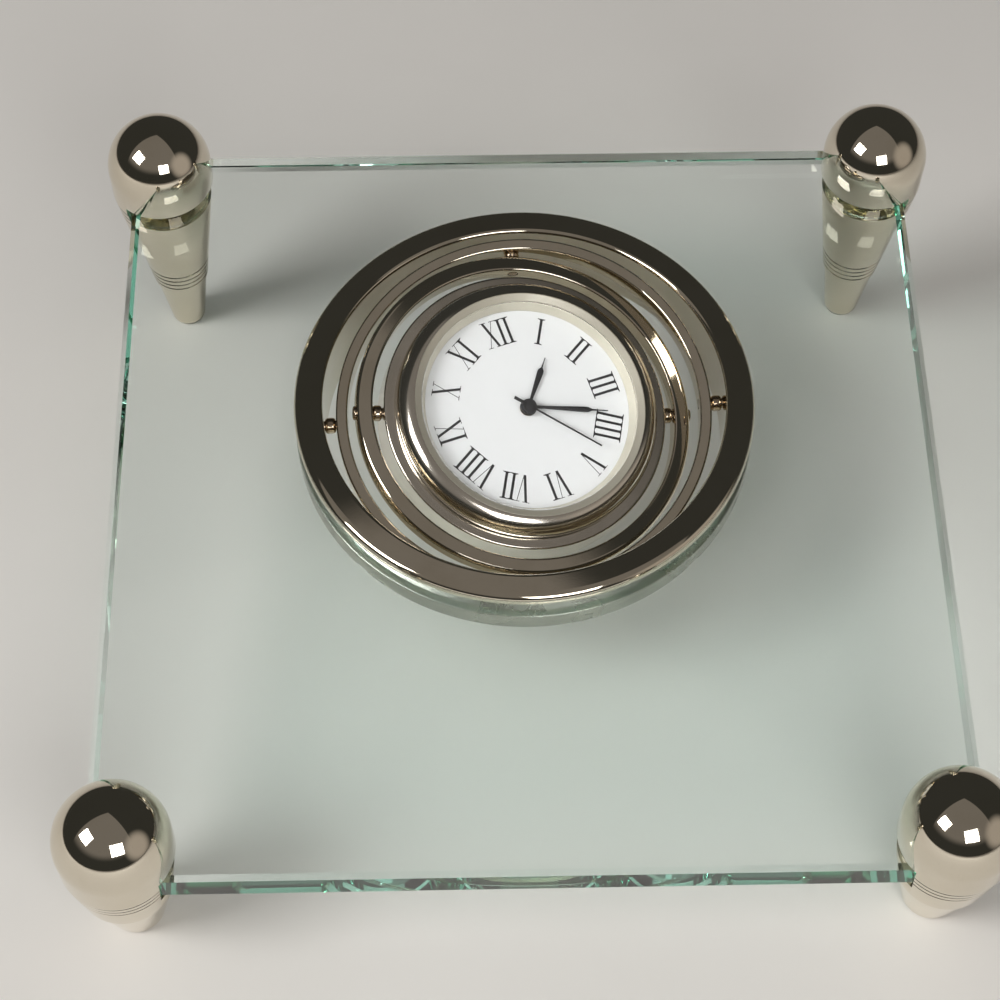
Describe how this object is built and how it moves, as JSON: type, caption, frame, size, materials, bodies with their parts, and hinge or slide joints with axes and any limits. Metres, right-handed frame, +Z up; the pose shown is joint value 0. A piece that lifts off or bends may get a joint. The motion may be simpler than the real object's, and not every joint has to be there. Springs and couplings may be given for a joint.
{
  "type": "gyroscope_desk_clock",
  "caption": "Gyroscope desk clock: a small round clock turns on two nested gimbal rings in a glass plate on ball-topped posts",
  "frame": {"origin": "On the table, under the middle of the glass plate", "axes": "+X to the right and +Y to the back as the dial is read, +Z up from the table"},
  "size_m": [0.1344, 0.1343, 0.0535],
  "materials": {
    "polished_nickel": "polished nickel plate with a warm tint",
    "satin_nickel": "satin nickel pins",
    "plate_glass": "clear float glass with polished green edges",
    "clear_crystal": "clear mineral crystal",
    "clear_pad": "clear soft pad",
    "foot_pad": "pale soft foot pad",
    "black_rubber": "soft black rubber",
    "case_plastic": "moulded pale case",
    "white_dial": "smooth white dial with black Roman numerals",
    "frame_plastic": "moulded movement frame",
    "stator_steel": "plain soft steel",
    "coil_wire": "enamelled copper winding",
    "board_green": "green circuit board",
    "can_steel": "bright drawn steel",
    "train_brass": "plain cut brass",
    "train_plastic": "moulded wheels",
    "knob_plastic": "moulded black knob",
    "black_hands": "gloss black hands"
  },
  "bodies": {
    "stand": {"glass_plate": "plate_glass", "post_front_left": "polished_nickel", "post_front_right": "polished_nickel", "post_back_left": "polished_nickel", "post_back_right": "polished_nickel", "slot_pads": "clear_pad", "foot_pads": "foot_pad", "outer_ring": "polished_nickel", "lock_ring": "polished_nickel", "outer_pin_left": "satin_nickel", "outer_pin_right": "satin_nickel"},
    "outer_gimbal": {"outer_gimbal_ring": "polished_nickel", "inner_pin_front": "satin_nickel", "inner_pin_back": "satin_nickel"},
    "inner_gimbal": {"inner_gimbal_ring": "polished_nickel", "clock_pin_left": "satin_nickel", "clock_pin_right": "satin_nickel"},
    "clock": {"clock_holder": "polished_nickel", "grip_ring": "black_rubber", "case": "case_plastic", "bezel": "polished_nickel", "crystal": "clear_crystal", "dial": "white_dial", "front_plate": "frame_plastic", "back_plate": "frame_plastic", "stator": "stator_steel", "coil": "coil_wire", "circuit_board": "board_green", "quartz_can": "can_steel", "cell": "can_steel", "cell_contact": "train_brass", "cell_hatch": "case_plastic"},
    "minute": {"cannon_pinion": "train_brass", "minute_hand": "black_hands"},
    "hour": {"hour_wheel": "train_brass", "hour_hand": "black_hands"},
    "setting": {"setting_wheel": "train_plastic", "setting_knob": "knob_plastic"},
    "second": {"seconds_wheel": "train_plastic", "second_hand": "black_hands"},
    "third": {"third_wheel": "train_plastic"},
    "centre": {"centre_wheel": "train_plastic"},
    "fifth": {"fifth_wheel": "train_plastic"},
    "rotor": {"rotor": "stator_steel"}
  },
  "joints": [
    {"name": "outer_gimbal_turn", "type": "hinge", "parent": "stand", "child": "outer_gimbal", "pos_m": [0, 0.01477, 0.03045], "axis": [0.9986, 0.0517, 0.008], "continuous": true},
    {"name": "inner_gimbal_turn", "type": "hinge", "parent": "outer_gimbal", "child": "inner_gimbal", "pos_m": [0, 0.01477, 0.03045], "axis": [-0.0513, 0.9384, 0.3418], "continuous": true},
    {"name": "clock_turn", "type": "hinge", "parent": "inner_gimbal", "child": "clock", "pos_m": [0, 0.01477, 0.03045], "axis": [0.9797, 0.1137, -0.165], "continuous": true},
    {"name": "minute_turn", "type": "hinge", "parent": "clock", "child": "minute", "pos_m": [0, 0.01477, 0.03045], "axis": [0.1957, -0.3654, 0.91], "continuous": true},
    {"name": "hour_turn", "type": "hinge", "parent": "clock", "child": "hour", "pos_m": [0, 0.01477, 0.03045], "axis": [0.1957, -0.3654, 0.91], "continuous": true},
    {"name": "setting_turn", "type": "hinge", "parent": "clock", "child": "setting", "pos_m": [0.00204, 0.0097, 0.02798], "axis": [0.1957, -0.3654, 0.91], "continuous": true},
    {"name": "second_turn", "type": "hinge", "parent": "clock", "child": "second", "pos_m": [0, 0.01477, 0.03045], "axis": [0.1957, -0.3654, 0.91], "continuous": true},
    {"name": "third_turn", "type": "hinge", "parent": "clock", "child": "third", "pos_m": [-0.00426, 0.01103, 0.02987], "axis": [0.1957, -0.3654, 0.91], "continuous": true},
    {"name": "centre_turn", "type": "hinge", "parent": "clock", "child": "centre", "pos_m": [0, 0.01477, 0.03045], "axis": [0.1957, -0.3654, 0.91], "continuous": true},
    {"name": "fifth_turn", "type": "hinge", "parent": "clock", "child": "fifth", "pos_m": [0.00094, 0.02006, 0.03237], "axis": [0.1957, -0.3654, 0.91], "continuous": true},
    {"name": "rotor_turn", "type": "hinge", "parent": "clock", "child": "rotor", "pos_m": [0.00393, 0.02268, 0.03278], "axis": [0.1957, -0.3654, 0.91], "continuous": true}
  ],
  "couplings": [
    {"joint": "hour_turn", "follows": "minute_turn", "ratio": 0.083333},
    {"joint": "setting_turn", "follows": "minute_turn", "ratio": -0.33333},
    {"joint": "fifth_turn", "follows": "second_turn", "ratio": -6},
    {"joint": "rotor_turn", "follows": "second_turn", "ratio": 30},
    {"joint": "third_turn", "follows": "second_turn", "ratio": -0.13333},
    {"joint": "centre_turn", "follows": "second_turn", "ratio": 0.016667}
  ]
}
